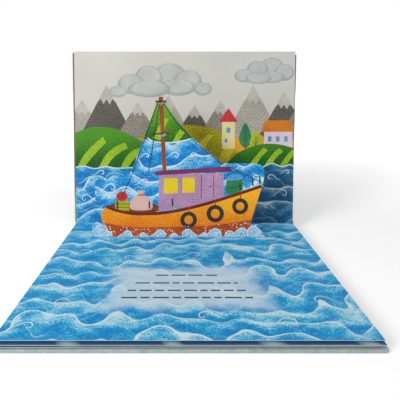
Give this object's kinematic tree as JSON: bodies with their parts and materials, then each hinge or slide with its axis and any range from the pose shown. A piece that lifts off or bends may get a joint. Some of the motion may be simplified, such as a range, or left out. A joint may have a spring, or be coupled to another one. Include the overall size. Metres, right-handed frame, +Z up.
{
  "type": "pop-up book",
  "caption": "Hardback pop-up picture book stood open past a right angle, with a card boat on folded struts between the two halves.",
  "frame": {"origin": "middle of the underside of the cover that lies flat", "axes": "+Z up, +X along the fold to the reader's right, +Y from the reader to the standing half"},
  "size_m": [0.276, 0.2819, 0.2113],
  "materials": {
    "cover_board": "smooth wrapped board, faint sheen",
    "page_card": "coated printed card",
    "boat_print": "coated printed card",
    "endpaper_print": "uncoated paper",
    "plain_card": "uncoated card"
  },
  "bodies": {
    "book": {"back_cover": "cover_board", "back_endpaper": "endpaper_print", "spine": "cover_board", "pages": "page_card", "boat_card": "boat_print", "left_strut": "plain_card", "right_strut": "plain_card"},
    "front_cover": {"front_cover": "cover_board", "front_endpaper": "endpaper_print"}
  },
  "joints": [
    {"name": "front_cover_hinge", "type": "hinge", "parent": "book", "child": "front_cover", "pos_m": [0, 0.1243, 0.0125], "axis": [-1, 0, 0], "range_deg": [0, 77.5]}
  ]
}
